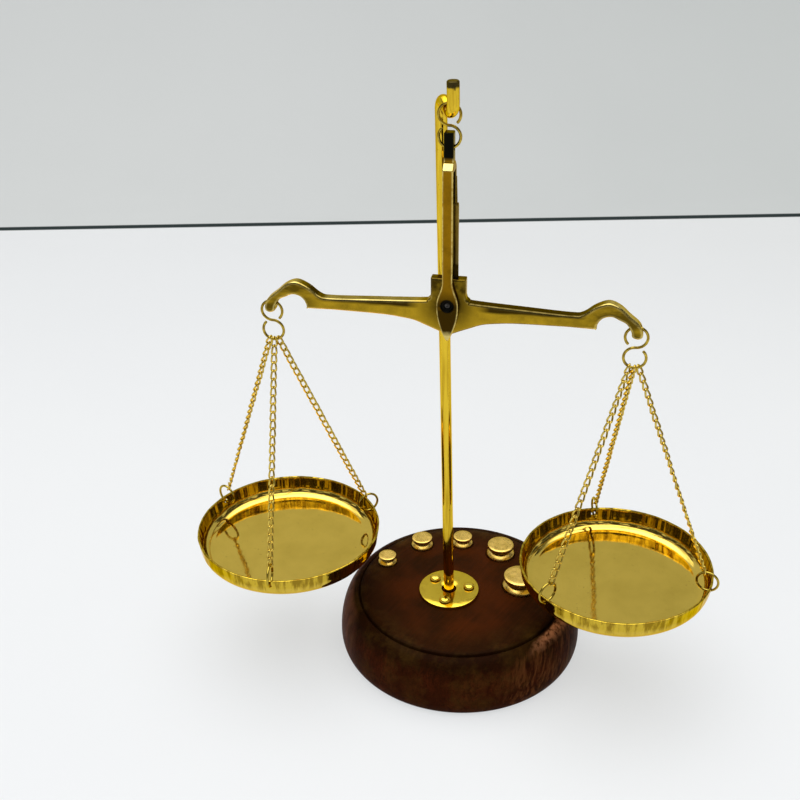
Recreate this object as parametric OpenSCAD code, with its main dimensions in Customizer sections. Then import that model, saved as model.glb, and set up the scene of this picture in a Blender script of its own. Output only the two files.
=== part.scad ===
/* [Base] */
// Widest diameter of the turned wooden base
base_d = 100; // [96:1:120]
// Height of the base
base_h = 24; // [20:0.5:32]
// Diameter of the underside that stands on the table
foot_d = 95; // [88:0.5:95]
// Height at which the base is widest
swell_h = 5.5; // [3:0.5:8]
// Diameter of the raised flat disc on top of the base
top_d = 83; // [80:0.5:86]
// Width of the groove round the top disc
groove_w = 1; // [0.6:0.1:1.6]
// Depth of the groove round the top disc
groove_depth = 1.2; // [0.6:0.1:2]
// Height of the top disc above the shoulder round it
disc_rise = 0.7; // [0.3:0.1:1.5]

/* [Post] */
// Diameter of the brass rod
post_d = 4.2; // [3.6:0.1:5]
// Distance of the rod from the middle of the base, along the beam
post_x = -4; // [-6:0.5:2]
// Distance of the rod from the middle of the base, across the beam
post_y = -3.3; // [-6:0.1:2]
// Length of the straight rod above the base
post_rise = 200.8; // [180:0.1:230]
// Lean of the rod towards the left pan, in degrees
post_lean = 1; // [0:0.1:2]
// Turn of the rod's hook from straight ahead towards the right pan, in degrees
hook_turn = 27; // [0:1:35]
// Bend radius at the top of the rod
crown_r = 3.6; // [3:0.1:5]
// Bend radius of the hook's upturned end
hook_r = 4; // [3.4:0.1:5]
// Slope of the run between the two bends, in degrees
hook_dip = 22; // [10:1:30]
// Length of the run between the two bends
hook_run = 3.6; // [2:0.1:6]
// Length of the straight upturned end
hook_tip = 6.8; // [5:0.1:10]

/* [Flange] */
// Diameter of the brass disc round the foot of the rod
flange_d = 24.7; // [22:0.1:28]
// Thickness of the disc
flange_t = 1.4; // [1:0.1:2.4]
// Diameter of the disc's middle hole
flange_hole_d = 6; // [5.4:0.1:7]
// Distance of the nails from the middle of the disc
nail_ring = 8.3; // [7.5:0.1:9]
// Directions of the nails round the disc, in degrees
nail_angles = [-92, 14, 143]; // [-180:1:180]
// Diameter of a nail's head
nail_head_d = 4.2; // [3.4:0.1:5]
// Height of a nail's head
nail_head_h = 1.3; // [0.8:0.1:1.8]
// Diameter of a nail's shank
nail_d = 1.6; // [1.2:0.1:2]
// Length of a nail's shank
nail_len = 11; // [8:0.5:15]

/* [Fastening under the base] */
// Diameter of the pocket for the nut
pocket_d = 14; // [12:0.5:18]
// Depth of the pocket for the nut
pocket_depth = 8; // [7:0.5:10]
// Outer diameter of the washer
washer_d = 10; // [9:0.1:11.5]
// Thickness of the washer
washer_t = 0.8; // [0.5:0.1:1.2]
// Width of the nut across its flats
nut_w = 7; // [6.5:0.1:8]
// Thickness of the nut
nut_t = 3.2; // [2.4:0.1:4]
// Length of rod that stands out below the nut
post_tail = 1.4; // [0.4:0.1:2]

/* [Hooks] */
// Diameter of the wire of the three S-hooks
hook_wire = 1; // [0.8:0.05:1.2]
// Radius of the loops of the upper S-hook, to the middle of its wire
top_loop_r = 3.7; // [3.6:0.05:4.2]
// Radius of the loops of the pans' S-hooks, to the middle of their wire
end_loop_r = 3.9; // [3.6:0.05:4.4]
// Opening at the free end of each loop, in degrees
loop_gap = 42; // [38:1:60]

/* [Fork] */
// Distance from the fork's eye down to the pivot
fork_drop = 55.4; // [50:0.1:62]
// Width of the fork's arms
arm_w = 3.7; // [3:0.1:4.5]
// Thickness of each arm
arm_t = 1.6; // [1.2:0.1:2]
// Width of the leaf round the pivot
leaf_w = 7.8; // [6.5:0.1:9]
// Length of the leaf above the pivot
leaf_up = 9; // [7:0.5:12]
// Length of the leaf below the pivot
leaf_down = 13.4; // [11:0.1:16]
// Width of the lug that carries the eye
lug_w = 3.3; // [2.8:0.1:3.7]
// Thickness of the lug
lug_t = 4; // [3.4:0.1:5]
// Height of the lug above the eye
lug_up = 5.3; // [4:0.1:5.6]
// Length of the lug below the eye, down to the shoulders
lug_down = 4.8; // [3:0.1:7]
// Height of the sloping shoulders
shoulder_h = 2; // [1:0.1:3]
// Solid metal between the shoulders and the slot
bridge_t = 1.2; // [0.8:0.1:2]
// Diameter of the eye
eye_d = 2; // [1.9:0.05:2.2]

/* [Pivot] */
// Diameter of the pivot pin
pin_d = 2; // [1.5:0.1:2.4]
// Running clearance round the pin in the fork, on the radius
pin_play = 0.06; // [0.02:0.01:0.1]
// Diameter of the countersink round each end of the pin
sink_d = 4.6; // [3:0.1:5]
// Depth of the countersink
sink_depth = 0.6; // [0.3:0.1:0.9]

/* [Beam] */
// Distance from the pivot to the hole for each pan's hook
beam_arm = 65.6; // [60:0.1:74]
// Depth of these holes below the pivot
beam_sag = 4.5; // [3.5:0.1:6]
// Thickness of the beam
beam_t = 4.4; // [3.6:0.1:5]
// Height of the beam's arms next to the collar
arm_deep = 6; // [5:0.1:7]
// Height of the beam's arms where the swan necks start
arm_shallow = 4.6; // [4:0.1:5.5]
// Width of the raised collar
collar_w = 12.4; // [10:0.1:15]
// Height of the collar above the pivot
collar_h = 9.5; // [8:0.1:12]
// Depth of the belly below the pivot
belly_h = 11.6; // [10:0.1:14]
// Height of the swan neck's top above the beam's arm
neck_rise = 4.9; // [3.5:0.1:6.5]
// Width of the drop at each end of the beam
drop_w = 4; // [3.6:0.1:4.4]
// Diameter of the hole in each drop
end_hole_d = 2.5; // [2.4:0.05:2.6]

/* [Pointer] */
// Distance of the pointer from the pivot line, towards the right pan
pointer_x = 2.4; // [0:0.1:3]
// Width of the pointer's blade
pointer_w = 1.8; // [1.4:0.1:2.4]
// Thickness of the pointer's blade
pointer_t = 1.4; // [1:0.1:2]
// Height of the blade above the collar
pointer_blade = 27; // [22:0.5:29]
// Length of the needle above the blade
pointer_needle = 9.4; // [6:0.1:9.5]
// Diameter of the needle at its foot
needle_d = 0.9; // [0.7:0.1:1.2]
// Depth of the pointer's tang in the collar
tang_depth = 4; // [2:0.5:5]

/* [Pans] */
// Diameter of the pans at the rim
pan_d = 73.6; // [68:0.2:76]
// Height of the pans
pan_h = 9; // [7:0.5:12]
// Thickness of the pans' sheet
pan_t = 0.8; // [0.6:0.1:1]
// Radius of the corner between wall and floor, inside
pan_corner = 4; // [2.5:0.1:5]
// Outward lean of the wall over its height
pan_flare = 0.6; // [0:0.1:1.5]
// Distance from the beam's end holes down to the rim
pan_drop = 99.8; // [90:0.2:106]
// Distance of the ring holes below the rim
ring_hole_down = 2.3; // [2:0.1:2.6]
// Diameter of the ring holes
ring_hole_d = 1.9; // [1.8:0.05:2.2]
// Directions of the left pan's rings, in degrees
left_rings = [155, -85, 35]; // [-180:1:180]
// Directions of the right pan's rings, in degrees
right_rings = [-133, 107, -13]; // [-180:1:180]
// Diameter of the wire of the pans' rings
ring_wire = 0.95; // [0.8:0.05:1.1]
// Radius of the pans' rings, to the middle of the wire
ring_r = 4; // [3.6:0.1:4.6]
// Opening where the ends of a ring meet, in degrees
ring_gap = 4; // [2:1:8]

/* [Chains] */
// Diameter of the chains' wire
link_wire = 0.6; // [0.5:0.02:0.64]
// Outer length of a link
link_len = 4.4; // [4.2:0.1:5]
// Outer width of a link
link_w = 2.6; // [2.5:0.05:2.8]
// Least play between two links
link_play = 0.08; // [0.05:0.01:0.12]
// Spread of the three chains round the hook's loop, in degrees
chain_spread = 25; // [22:1:32]

/* [Weights] */
// Diameters of the weights' top discs
weight_ds = [7.4, 8.7, 8.1, 11.1, 13.4]; // [6:0.1:14]
// Heights of the weights above the base
weight_rises = [3.5, 4.1, 3.9, 5.1, 5.5]; // [3:0.1:6]
// Depths of the weights' recesses in the base
weight_sinks = [1, 1, 1.2, 1.6, 3]; // [0.8:0.1:5]
// Distances of the weights from the rod
weight_rings = [33, 34, 34, 34.2, 29.8]; // [27:0.1:34.4]
// Directions of the weights from the rod, in degrees
weight_angles = [153, 120, 89.5, 59, 17]; // [0:0.5:160]

/* [Fits] */
// Clearance on the radius round parts that stay put
snug = 0.05; // [0.02:0.01:0.1]
// Clearance between parts that hang or move past each other
gap = 0.3; // [0.2:0.05:0.4]
// Clearance between a hooked wire and what it hangs on
seat_gap = 0.2; // [0.1:0.05:0.3]

/* [Hidden] */

$fn = 64;
wire_fn = 24;
curve_steps = 6;
past = 1;

brass = "goldenrod";
old_brass = "darkgoldenrod";
wood = [0.22, 0.07, 0.04];
steel = "silver";

// Vectors
function unit(v) = v / norm(v);
function turn(v, axis, a) =
    v * cos(a) + cross(axis, v) * sin(a) + axis * (axis * v) * (1 - cos(a));
function wrap(a) = a - 180 * floor((a + 90) / 180);

// Smooth curve through a list of points, which passes through each of them
function spline_point(a, b, c, d, t) =
    0.5 * (2 * b + (c - a) * t + (2 * a - 5 * b + 4 * c - d) * t * t + (3 * b - a - 3 * c + d) * t * t * t);
function spline(p, steps) = [
    for (i = [0 : len(p) - 2], s = [0 : steps - 1])
        spline_point(p[max(i - 1, 0)], p[i], p[i + 1], p[min(i + 2, len(p) - 1)], s / steps),
    p[len(p) - 1]
];
function mirrored(p) = [for (i = [len(p) - 1 : -1 : 0]) [-p[i][0], p[i][1]]];

// The rod's own frame starts on top of the base and leans with the rod
function from_post(p) = [
    post_x + p[0] * cos(post_lean) - p[2] * sin(post_lean),
    post_y + p[1],
    base_h + p[0] * sin(post_lean) + p[2] * cos(post_lean)
];
run_start = [crown_r * (1 + sin(hook_dip)), crown_r * cos(hook_dip)];
run_end = run_start + hook_run * [cos(hook_dip), -sin(hook_dip)];
bend_mid = run_end + hook_r * [sin(hook_dip), cos(hook_dip)];
valley = [bend_mid[0], bend_mid[1] - hook_r];

// Points that the hanging parts share
valley_at = from_post([valley[0] * sin(hook_turn), -valley[0] * cos(hook_turn), post_rise + valley[1]]);
hang_at = valley_at + [0, 0, post_d / 2 + seat_gap + hook_wire / 2];
// Height from the crest of a loop's wire down to its inner side, at the two mouths of a hole
function mouth_depth(r, w) = r - sqrt(pow(r - hook_wire / 2, 2) - pow(w / 2, 2));
eye_lift = mouth_depth(top_loop_r, lug_w) + seat_gap - eye_d / 2;
eye_at = hang_at - [0, 0, 4 * top_loop_r - eye_lift];
pivot_at = eye_at - [0, 0, fork_drop];
end_hole_z = end_hole_d / 2 - seat_gap - mouth_depth(end_loop_r, drop_w);
function end_at(side) = pivot_at + [side * beam_arm, 0, -beam_sag];
function loop_at(side) = end_at(side) - [0, 0, 3 * end_loop_r];
function swing_at(side) = end_at(side) - [0, 0, 4 * end_loop_r];
function rim_at(side) = end_at(side) - [0, 0, pan_drop];

slot_w = beam_t + 2 * gap;
fork_depth = slot_w + 2 * arm_t;
slot_top = -lug_down - shoulder_h - bridge_t;
pocket_top = pocket_depth - base_h;

// Sizes of a chain link
bend_r = (link_w - link_wire) / 2;
link_in = link_len - 2 * link_wire;
link_straight = link_len - link_w;

// The lathe-turned side of the base, from the foot up to the top disc
base_steps = 12;
shoulder_r = top_d / 2 + groove_w;
shoulder_z = base_h - disc_rise;
base_edge = 0.4;
base_profile = concat(
    [[0, 0]],
    [for (i = [0 : base_steps]) let (a = 90 * i / base_steps)
        [foot_d / 2 + (base_d - foot_d) / 2 * sin(a), swell_h * (1 - cos(a))]],
    [for (i = [1 : base_steps]) let (a = 90 * i / base_steps)
        [shoulder_r + (base_d / 2 - shoulder_r) * cos(a), swell_h + (shoulder_z - swell_h) * sin(a)]],
    [
        [shoulder_r - groove_w / 2, shoulder_z - groove_depth],
        [top_d / 2, shoulder_z - groove_depth / 2],
        [top_d / 2, base_h - base_edge],
        [top_d / 2 - base_edge, base_h],
        [0, base_h]
    ]
);

function weight_at(i) =
    [post_x, post_y, base_h] + weight_rings[i] * [cos(weight_angles[i]), sin(weight_angles[i]), 0];

// A weight's body is a little wider than its top disc, with a neck between them
weight_flare = 1.08;
weight_neck = 0.74;
weight_edge = 0.25;
function body_r(i) = weight_ds[i] / 2 * weight_flare;

module along_post() {
    translate([post_x, post_y, base_h]) rotate([0, -post_lean, 0]) children();
}

module base() color(wood) difference() {
    rotate_extrude($fn = 128) polygon(base_profile);
    along_post() translate([0, 0, -base_h - past]) cylinder(d = post_d + 2 * snug, h = base_h + 2 * past);
    along_post() translate([0, 0, pocket_top - base_h]) cylinder(d = pocket_d, h = base_h);
    for (i = [0 : len(nail_angles) - 1]) nail_place(i) translate([0, 0, -nail_len - snug])
        cylinder(d = nail_d + 2 * snug, h = nail_len + past);
    for (i = [0 : len(weight_ds) - 1]) translate(weight_at(i) - [0, 0, weight_sinks[i]])
        cylinder(r = body_r(i) + gap, h = weight_sinks[i] + past);
}

// Part of a torus in the XZ plane, from one angle to another
module wire_arc(r, wire, from, to) {
    rotate([90, 0, 0]) rotate([0, 0, from]) rotate_extrude(angle = to - from, $fn = 48)
        translate([r, 0]) circle(d = wire, $fn = wire_fn);
}

// Bends upright wire towards +X, and carries on from the end of the bend
module bend(r, wire, a) {
    translate([r, 0, 0]) {
        rotate([0, 0, 180]) rotate([90, 0, 0]) rotate_extrude(angle = a, $fn = 48)
            translate([r, 0]) circle(d = wire, $fn = wire_fn);
        rotate([0, a, 0]) translate([-r, 0, 0]) children();
    }
}

// Straight wire, with a ball that fills the joint to the bend below it
joint_bulge = 0.01;
module run(wire, len) {
    sphere(d = wire + 2 * joint_bulge, $fn = wire_fn);
    cylinder(d = wire, h = len, $fn = wire_fn);
    translate([0, 0, len]) children();
}

module post() color(brass) along_post() {
    tail = -pocket_top + washer_t + nut_t + post_tail;
    translate([0, 0, -tail]) cylinder(d = post_d, h = tail + post_rise, $fn = wire_fn);
    translate([0, 0, post_rise]) rotate([0, 0, hook_turn - 90]) bend(crown_r, post_d, 90 + hook_dip)
        run(post_d, hook_run) {
            sphere(d = post_d + 2 * joint_bulge, $fn = wire_fn);
            rotate([0, 0, 180]) bend(hook_r, post_d, 90 + hook_dip) run(post_d, hook_tip);
        }
}

module nail_place(i) {
    translate([post_x, post_y, base_h]) rotate([0, 0, nail_angles[i]])
        translate([nail_ring, 0, 0]) children();
}

module flange() color(brass) difference() {
    translate([post_x, post_y, base_h]) cylinder(d = flange_d, h = flange_t);
    translate([post_x, post_y, base_h - past]) cylinder(d = flange_hole_d, h = flange_t + 2 * past);
    for (i = [0 : len(nail_angles) - 1]) nail_place(i) translate([0, 0, -past])
        cylinder(d = nail_d + 2 * snug, h = flange_t + 2 * past);
}

// A round nail with a low dome: the head is a slice of a ball
module flange_nail(i) color(brass) nail_place(i) {
    ball_r = (pow(nail_head_d / 2, 2) + pow(nail_head_h, 2)) / (2 * nail_head_h);
    translate([0, 0, -nail_len]) cylinder(d = nail_d, h = nail_len + flange_t + nail_head_h / 2);
    intersection() {
        translate([0, 0, flange_t + nail_head_h - ball_r]) sphere(r = ball_r);
        translate([0, 0, flange_t]) cylinder(d = nail_head_d + past, h = nail_head_h + past);
    }
}

module washer() color(brass) along_post() translate([0, 0, pocket_top - washer_t]) difference() {
    cylinder(d = washer_d, h = washer_t);
    translate([0, 0, -past]) cylinder(d = post_d + 2 * snug, h = washer_t + 2 * past);
}

module nut() color(steel) along_post() translate([0, 0, pocket_top - washer_t - nut_t]) difference() {
    cylinder(d = nut_w / cos(30), h = nut_t, $fn = 6);
    translate([0, 0, -past]) cylinder(d = post_d + 2 * snug, h = nut_t + 2 * past);
}

// Open loop of wire that starts at its lowest point
module open_loop(r) {
    translate([0, 0, r]) rotate([90, 0, 0]) rotate([0, 0, -90])
        rotate_extrude(angle = 360 - loop_gap, $fn = 48)
        translate([r, 0]) circle(d = hook_wire, $fn = wire_fn);
}

// Two open loops, one above the other, hung by the top of the upper one
module s_hook(at, r, facing) color(old_brass) translate(at - [0, 0, 2 * r]) rotate([0, 0, facing]) {
    open_loop(r);
    rotate([0, 180, 0]) open_loop(r);
}

// The leaf round the pivot: it swells from the arm and runs to a blunt point
leaf_steps = 14;
leaf_point = 0.5;
leaf_half = concat(
    [for (i = [0 : leaf_steps]) let (t = i / leaf_steps)
        [arm_w / 2 + (leaf_w - arm_w) / 4 * (1 - cos(180 * t)), leaf_up * (1 - t)]],
    [for (i = [1 : leaf_steps - 1]) let (t = i / leaf_steps)
        [leaf_w / 2 * pow(cos(90 * t), 0.9) + leaf_point * t, -leaf_down * t]],
    [[leaf_point, -leaf_down]]
);

module fork() color(old_brass) translate(eye_at) difference() {
    union() {
        rotate([90, 0, 90]) linear_extrude(arm_w, center = true) difference() {
            polygon([
                [-lug_t / 2, -lug_down], [-fork_depth / 2, -lug_down - shoulder_h],
                [-fork_depth / 2, leaf_up - fork_drop - past], [fork_depth / 2, leaf_up - fork_drop - past],
                [fork_depth / 2, -lug_down - shoulder_h], [lug_t / 2, -lug_down]
            ]);
            translate([-slot_w / 2, -2 * fork_drop]) square([slot_w, 2 * fork_drop + slot_top]);
        }
        translate([-lug_w / 2, -lug_t / 2, -lug_down - shoulder_h])
            cube([lug_w, lug_t, lug_up + lug_down + shoulder_h]);
        for (s = [-1, 1]) translate([0, s * (slot_w + arm_t) / 2, -fork_drop]) rotate([90, 0, 0])
            linear_extrude(arm_t, center = true) polygon(concat(leaf_half, mirrored(leaf_half)));
    }
    rotate([0, 90, 0]) cylinder(d = eye_d, h = 2 * arm_w, center = true);
    translate([0, 0, -fork_drop]) rotate([90, 0, 0]) {
        cylinder(d = pin_d + 2 * pin_play, h = 2 * fork_depth, center = true);
        for (s = [-1, 1]) translate([0, 0, s * fork_depth / 2])
            cylinder(d = sink_d, h = 2 * sink_depth, center = true);
    }
}

// Right half of the beam's outline from the top of the collar round to the belly
neck_x = beam_arm - 18.6;
arm_top = 0;
arm_end_top = arm_top - 1.1;
foot_x = neck_x + 3.6;
tip_low = -beam_sag - 3.9;
beam_half = concat(
    [[0, collar_h], [collar_w / 2, collar_h], [collar_w / 2, arm_top + 3.2]],
    spline([
        [collar_w / 2 + 0.3, arm_top + 2],
        [collar_w / 2 + 1.2, arm_top + 1.1],
        [collar_w / 2 + 3, arm_top + 0.6],
        [(collar_w / 2 + neck_x) / 2, (arm_top + arm_end_top) / 2 + 0.2],
        [neck_x - 4, arm_end_top],
        [neck_x, arm_end_top + 0.5],
        [neck_x + 4, arm_end_top + neck_rise * 0.66],
        [beam_arm - 10.2, arm_end_top + neck_rise],
        [beam_arm - 6.2, arm_end_top + neck_rise * 0.7],
        [beam_arm - 2.6, arm_end_top - 0.1],
        [beam_arm + 0.7, -beam_sag + 1.1],
        [beam_arm + drop_w / 2, -beam_sag - 1.3],
        [beam_arm + drop_w / 2 - 0.1, tip_low + 0.7],
        [beam_arm + 0.3, tip_low],
        [beam_arm - drop_w / 2 + 0.5, tip_low + 0.7],
        [beam_arm - drop_w / 2, -beam_sag - 1.3],
        [beam_arm - 3.7, -beam_sag + 1.9],
        [beam_arm - 6.2, arm_end_top + 0.1],
        [beam_arm - 8.8, arm_end_top + 0.9],
        [beam_arm - 11.6, arm_end_top],
        [foot_x + 1.2, arm_end_top - 2.4],
        [foot_x, arm_end_top - arm_shallow + 0.8],
        [foot_x - 1.6, arm_end_top - arm_shallow],
        [neck_x - 6, arm_end_top - arm_shallow + 0.1],
        [collar_w / 2 + 11, arm_top - arm_deep + 0.8],
        [collar_w / 2 + 6, arm_top - arm_deep],
        [collar_w / 2 + 2, -belly_h * 0.66],
        [collar_w / 2 - 2, -belly_h * 0.85],
        [1.6, -belly_h],
        [0, -belly_h]
    ], curve_steps)
);

module beam() color(old_brass) translate(pivot_at) difference() {
    rotate([90, 0, 0]) linear_extrude(beam_t, center = true)
        polygon(concat(beam_half, mirrored([for (i = [1 : len(beam_half) - 2]) beam_half[i]])));
    rotate([90, 0, 0]) cylinder(d = pin_d + 2 * snug, h = 2 * beam_t, center = true);
    for (s = [-1, 1]) translate([s * beam_arm, 0, -beam_sag + end_hole_z]) rotate([0, 90, 0])
        cylinder(d = end_hole_d, h = 2.4 * drop_w, center = true);
    translate([pointer_x, 0, collar_h - tang_depth]) linear_extrude(tang_depth + past)
        square([pointer_w + 2 * snug, pointer_t + 2 * snug], center = true);
}

module pointer() color(old_brass) translate(pivot_at + [pointer_x, 0, collar_h]) {
    translate([0, 0, -tang_depth]) linear_extrude(tang_depth + pointer_blade)
        square([pointer_w, pointer_t], center = true);
    translate([0, 0, pointer_blade]) cylinder(d1 = needle_d, d2 = needle_d / 2, h = pointer_needle);
}

module pivot_pin() color(steel) translate(pivot_at) rotate([90, 0, 0])
    cylinder(d = pin_d, h = fork_depth - 2 * sink_depth, center = true);

// A spun dish: wall, rounded corner and floor, all of one thickness
pan_steps = 8;
function pan_corner_points(r, top_r, z) = [
    for (i = [0 : pan_steps]) let (a = 90 * i / pan_steps)
        [top_r - pan_flare - r * (1 - sin(a)), z + r * (1 - cos(a))]
];
function reversed(p) = [for (i = [len(p) - 1 : -1 : 0]) p[i]];

module pan(side, rings) color(brass) translate(rim_at(side)) difference() {
    translate([0, 0, -pan_h]) rotate_extrude($fn = 128) polygon(concat(
        [[0, 0]],
        pan_corner_points(pan_corner + pan_t, pan_d / 2, 0),
        [[pan_d / 2, pan_h], [pan_d / 2 - pan_t, pan_h]],
        reversed(pan_corner_points(pan_corner, pan_d / 2 - pan_t, pan_t)),
        [[0, pan_t]]
    ));
    for (a = rings) rotate([0, 0, a]) translate([pan_d / 2, 0, -ring_hole_down]) rotate([0, 90, 0])
        cylinder(d = ring_hole_d, h = 4 * pan_t + 2 * pan_flare, center = true);
}

// Middle of a ring hole in the pan's wall
function hole_at(side, a) = rim_at(side) + [
    (pan_d - pan_t) / 2 * cos(a), (pan_d - pan_t) / 2 * sin(a), -ring_hole_down
];
// Place on the hook's lower loop where a chain hangs, counted from left to right
function loop_angle(place) = -90 + (place - 1) * chain_spread;
function chain_top(side, place) =
    loop_at(side) + end_loop_r * [cos(loop_angle(place)), 0, sin(loop_angle(place))];
function loop_tangent(place) = [-sin(loop_angle(place)), 0, cos(loop_angle(place))];
function chain_dir(side, place, a) = unit(chain_top(side, place) - hole_at(side, a));
// Direction of a ring's wire where it passes the pan and the chain
function ring_tangent(dir) = unit(cross(cross([0, 0, 1], dir), dir));

// Turns the X, Y and Z axes to the given directions
module to_axes(at, x, y, z) {
    multmatrix([
        [x[0], y[0], z[0], at[0]], [x[1], y[1], z[1], at[1]], [x[2], y[2], z[2], at[2]], [0, 0, 0, 1]
    ]) children();
}

module ring(side, place, a) color(brass) {
    dir = chain_dir(side, place, a);
    along = ring_tangent(dir);
    to_axes(hole_at(side, a) + ring_r * dir, along, cross(dir, along), dir)
        wire_arc(ring_r, ring_wire, ring_gap / 2, 360 - ring_gap / 2);
}

// One oval link, which stands in the XZ plane
module link() {
    for (s = [-1, 1]) {
        translate([s * bend_r, 0, 0])
            cylinder(d = link_wire, h = link_straight, center = true, $fn = wire_fn);
        translate([0, 0, s * link_straight / 2])
            wire_arc(bend_r, link_wire, s > 0 ? 0 : 180, s > 0 ? 180 : 360);
    }
}

// Links turned by a quarter from one to the next, with the rest of the turn shared among them
module chain(side, place, a) color(brass) {
    dir = chain_dir(side, place, a);
    low = hole_at(side, a) + 2 * ring_r * dir;
    first = low + dir * (link_in / 2 - ring_wire / 2 - seat_gap / 2);
    last = chain_top(side, place) - dir * (link_in / 2 - hook_wire / 2 - seat_gap / 2);
    steps = ceil(norm(last - first) / (link_in - link_play));
    start = ring_tangent(dir);
    finish = unit(loop_tangent(place) - dir * (dir * loop_tangent(place)));
    left_over = wrap(atan2(cross(start, finish) * dir, start * finish) - 90 * steps);
    for (i = [0 : steps]) {
        across = turn(start, dir, i * (90 + left_over / steps));
        to_axes(first + (last - first) * i / steps, cross(across, dir), across, dir) link();
    }
}

// A spool-shaped weight whose foot stands in its recess
module weight(i) color(old_brass) translate(weight_at(i) - [0, 0, weight_sinks[i]]) {
    top_r = weight_ds[i] / 2;
    sink = weight_sinks[i];
    rise = weight_rises[i];
    rotate_extrude() polygon([
        [0, 0], [body_r(i) - weight_edge, 0], [body_r(i), weight_edge],
        [body_r(i), sink + rise * 0.34], [body_r(i) - weight_edge, sink + rise * 0.42],
        [top_r * weight_neck, sink + rise * 0.52], [top_r * weight_neck, sink + rise * 0.62],
        [top_r - weight_edge, sink + rise * 0.7], [top_r, sink + rise * 0.76],
        [top_r, sink + rise - weight_edge], [top_r - weight_edge, sink + rise], [0, sink + rise]
    ]);
}

base();
post();
flange();
flange_nail(0);  // flange_nail_1
flange_nail(1);  // flange_nail_2
flange_nail(2);  // flange_nail_3
washer();
nut();
s_hook(hang_at, top_loop_r, 180);  // s_hook_top
fork();
beam();
pointer();
pivot_pin();
s_hook(end_at(-1), end_loop_r, 180);  // s_hook_left
s_hook(end_at(1), end_loop_r, 0);  // s_hook_right
pan(-1, left_rings);  // pan_left
ring(-1, 0, left_rings[0]);  // ring_left_1
ring(-1, 1, left_rings[1]);  // ring_left_2
ring(-1, 2, left_rings[2]);  // ring_left_3
chain(-1, 0, left_rings[0]);  // chain_left_1
chain(-1, 1, left_rings[1]);  // chain_left_2
chain(-1, 2, left_rings[2]);  // chain_left_3
pan(1, right_rings);  // pan_right
ring(1, 0, right_rings[0]);  // ring_right_1
ring(1, 1, right_rings[1]);  // ring_right_2
ring(1, 2, right_rings[2]);  // ring_right_3
chain(1, 0, right_rings[0]);  // chain_right_1
chain(1, 1, right_rings[1]);  // chain_right_2
chain(1, 2, right_rings[2]);  // chain_right_3
weight(0);  // weight_1
weight(1);  // weight_2
weight(2);  // weight_3
weight(3);  // weight_4
weight(4);  // weight_5
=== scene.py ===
"""Looks of the weighing scale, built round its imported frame.

Sizes are in millimetres, apart from the lamp's, and MM turns them into Blender's metres.
"""
from functools import partial, partialmethod, reduce
from math import atan2, ceil, cos, floor, pi, radians, sin, sqrt

import bmesh
import bpy
import numpy as np
from mathutils import Matrix, Vector


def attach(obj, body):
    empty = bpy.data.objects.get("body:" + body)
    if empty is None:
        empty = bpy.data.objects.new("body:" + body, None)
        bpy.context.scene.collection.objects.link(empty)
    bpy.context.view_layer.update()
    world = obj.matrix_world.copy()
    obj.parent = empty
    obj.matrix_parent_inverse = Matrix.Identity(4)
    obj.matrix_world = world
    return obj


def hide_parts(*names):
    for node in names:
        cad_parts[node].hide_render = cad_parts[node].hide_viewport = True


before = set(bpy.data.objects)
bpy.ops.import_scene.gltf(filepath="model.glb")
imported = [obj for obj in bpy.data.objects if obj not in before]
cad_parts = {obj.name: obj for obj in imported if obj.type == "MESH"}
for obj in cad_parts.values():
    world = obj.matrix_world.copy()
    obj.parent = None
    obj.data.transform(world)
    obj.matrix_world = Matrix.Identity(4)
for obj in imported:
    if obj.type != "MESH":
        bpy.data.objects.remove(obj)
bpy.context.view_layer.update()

MM = 0.001
UP = Vector((0, 0, 1))

# Sizes that the pieces share with the model's source, in millimetres
BASE_D, BASE_H, FOOT_D, SWELL_H, TOP_D = 100, 24, 95, 5.5, 83
GROOVE_W, GROOVE_DEPTH, DISC_RISE = 1, 1.2, 0.7
POST_D, POST_RISE, POST_LEAN, HOOK_TURN = 4.2, 200.8, 1, 27
CROWN_R, HOOK_R, HOOK_DIP, HOOK_RUN, HOOK_TIP, POST_TAIL = 3.6, 4, 22, 3.6, 6.8, 21.4
POST_FOOT = Vector((-4, -3.3, BASE_H))
FLANGE_D, FLANGE_T, FLANGE_HOLE_D = 24.7, 1.4, 6
NAIL_RING, NAIL_ANGLES = 8.3, (-92, 14, 143)
NAIL_HEAD_D, NAIL_HEAD_H, NAIL_D, NAIL_LEN = 4.2, 1.3, 1.6, 11
POCKET_D, POCKET_DEPTH = 14, 8
HOOK_WIRE, TOP_LOOP_R, END_LOOP_R, LOOP_GAP = 1, 3.7, 3.9, 42
FORK_DROP, ARM_W, ARM_T, LEAF_W, LEAF_UP, LEAF_DOWN = 55.4, 3.7, 1.6, 7.8, 9, 13.4
LUG_W, LUG_T, LUG_UP, LUG_DOWN, SHOULDER_H, BRIDGE_T, EYE_D = 3.3, 4, 5.3, 4.8, 2, 1.2, 2
PIN_D, PIN_PLAY, SINK_D, SINK_DEPTH = 2, 0.06, 4.6, 0.6
BEAM_ARM, BEAM_SAG, BEAM_T, ARM_DEEP, ARM_SHALLOW = 65.6, 4.5, 4.4, 6, 4.6
COLLAR_W, COLLAR_H, BELLY_H, NECK_RISE, DROP_W, END_HOLE_D = 12.4, 9.5, 11.6, 4.9, 4, 2.5
POINTER_X, POINTER_W, POINTER_T, POINTER_BLADE, POINTER_NEEDLE = 2.4, 1.8, 1.4, 27, 9.4
NEEDLE_D, TANG_DEPTH = 0.9, 4
PAN_D, PAN_H, PAN_T, PAN_CORNER, PAN_FLARE, PAN_DROP = 73.6, 9, 0.8, 4, 0.6, 99.8
RING_HOLE_DOWN, RING_HOLE_D, RING_WIRE, RING_R, RING_GAP = 2.3, 1.9, 0.95, 4, 4
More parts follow.
